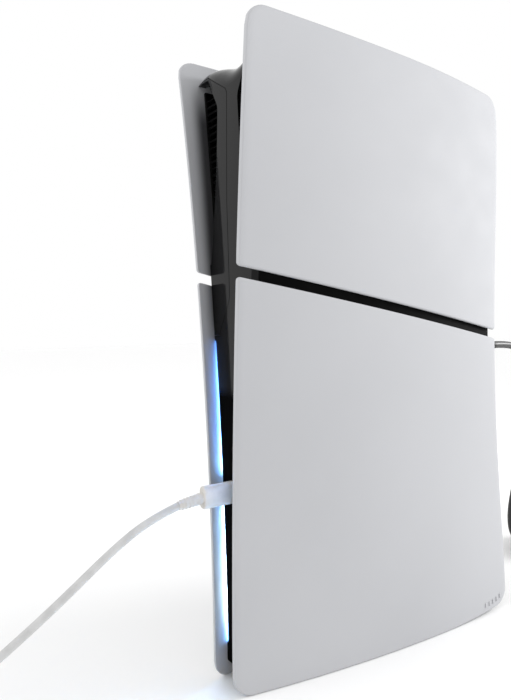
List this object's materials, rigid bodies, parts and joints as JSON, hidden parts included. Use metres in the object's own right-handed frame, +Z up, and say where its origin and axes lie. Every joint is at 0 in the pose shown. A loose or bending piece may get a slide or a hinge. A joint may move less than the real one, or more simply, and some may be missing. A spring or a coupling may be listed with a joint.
{
  "type": "game console",
  "caption": "Slim upright game console with four removable white side covers around a gloss black body, a lit front edge, rear vents and ports, and two plugged-in cords.",
  "frame": {"origin": "under the middle of the console, on the surface it stands on, cords left out of account", "axes": "+Z up, -Y towards the front with the power button, +X towards the right-hand covers"},
  "size_m": [0.0776, 0.6497, 0.358],
  "materials": {
    "cover_white": "fine matte texture",
    "gloss_black": "high gloss",
    "shell_black": "satin",
    "light_guide": "frosted, lit from inside",
    "zinc_steel": "bright zinc",
    "frame_metal": "black coat",
    "stand_brass": "machined",
    "fan_black": "satin",
    "circuit_board": "solder mask",
    "chip_black": "moulded",
    "copper": "bare copper",
    "fin_aluminium": "bare",
    "port_metal": "nickel plate",
    "port_plastic": "moulded",
    "plug_white": "moulded",
    "cord_white": "smooth jacket",
    "plug_black": "moulded",
    "cord_black": "smooth jacket"
  },
  "bodies": {
    "console": {"ac_inlet": "port_plastic", "board_screws": "zinc_steel", "board_shield": "zinc_steel", "bottom_plate": "shell_black", "button_switch": "chip_black", "coin_cell": "zinc_steel", "coin_cell_holder": "shell_black", "fan_housing": "shell_black", "fan_motor": "fan_black", "front_board": "circuit_board", "front_strip": "gloss_black", "hdmi_port": "port_metal", "heat_pipes": "copper", "heatsink_base": "copper", "heatsink_fins": "fin_aluminium", "intake_bezel_left": "gloss_black", "intake_grille_left": "shell_black", "intake_grille_right": "shell_black", "lan_port": "port_plastic", "light_guide_left": "light_guide", "light_guide_right": "light_guide", "m2_bay_cover": "zinc_steel", "m2_bay_screw": "zinc_steel", "m2_connector": "chip_black", "m2_tray": "shell_black", "main_board": "circuit_board", "memory_chips": "chip_black", "mid_frame": "frame_metal", "network_boot": "plug_black", "network_cord": "cord_black", "network_cord_coil": "cord_black", "network_far_plug": "plug_black", "network_plug": "plug_black", "power_supply": "zinc_steel", "processor_package": "chip_black", "rear_port_panel": "shell_black", "rear_vent_grille": "shell_black", "shell_left": "shell_black", "shell_right": "shell_black", "shell_screws": "zinc_steel", "speaker": "shell_black", "stand_insert": "stand_brass", "storage_chips": "chip_black", "top_cap": "gloss_black", "usb_a_ports": "port_metal", "usb_c_ports": "port_metal", "usb_cord": "cord_white", "usb_cord_coil": "cord_white", "usb_far_plug": "plug_white", "usb_plug": "plug_white", "usb_plug_shell": "port_metal", "usb_strain_relief": "plug_white", "wifi_aerials": "chip_black"},
    "upper_right_cover": {"cover_upper_right": "cover_white"},
    "lower_right_cover": {"cover_lower_right": "cover_white"},
    "upper_left_cover": {"cover_upper_left": "cover_white"},
    "lower_left_cover": {"cover_lower_left": "cover_white"},
    "power_button": {"power_button": "gloss_black"},
    "fan": {"fan_rotor": "fan_black"}
  },
  "joints": [
    {"name": "upper_right_cover_pull", "type": "slide", "parent": "console", "child": "upper_right_cover", "axis": [1, 0, 0], "range_m": [0, 0.06]},
    {"name": "lower_right_cover_pull", "type": "slide", "parent": "console", "child": "lower_right_cover", "axis": [1, 0, 0], "range_m": [0, 0.06]},
    {"name": "upper_left_cover_pull", "type": "slide", "parent": "console", "child": "upper_left_cover", "axis": [-1, 0, 0], "range_m": [0, 0.06]},
    {"name": "lower_left_cover_pull", "type": "slide", "parent": "console", "child": "lower_left_cover", "axis": [-1, 0, 0], "range_m": [0, 0.06]},
    {"name": "power_button_press", "type": "slide", "parent": "console", "child": "power_button", "axis": [0, 1, 0], "range_m": [0, 0.0006], "stiffness_N_per_m": 600, "springref_m": -0.0005},
    {"name": "fan_spin", "type": "hinge", "parent": "console", "child": "fan", "pos_m": [0, -0.005, 0.268], "axis": [1, 0, 0], "continuous": true}
  ]
}
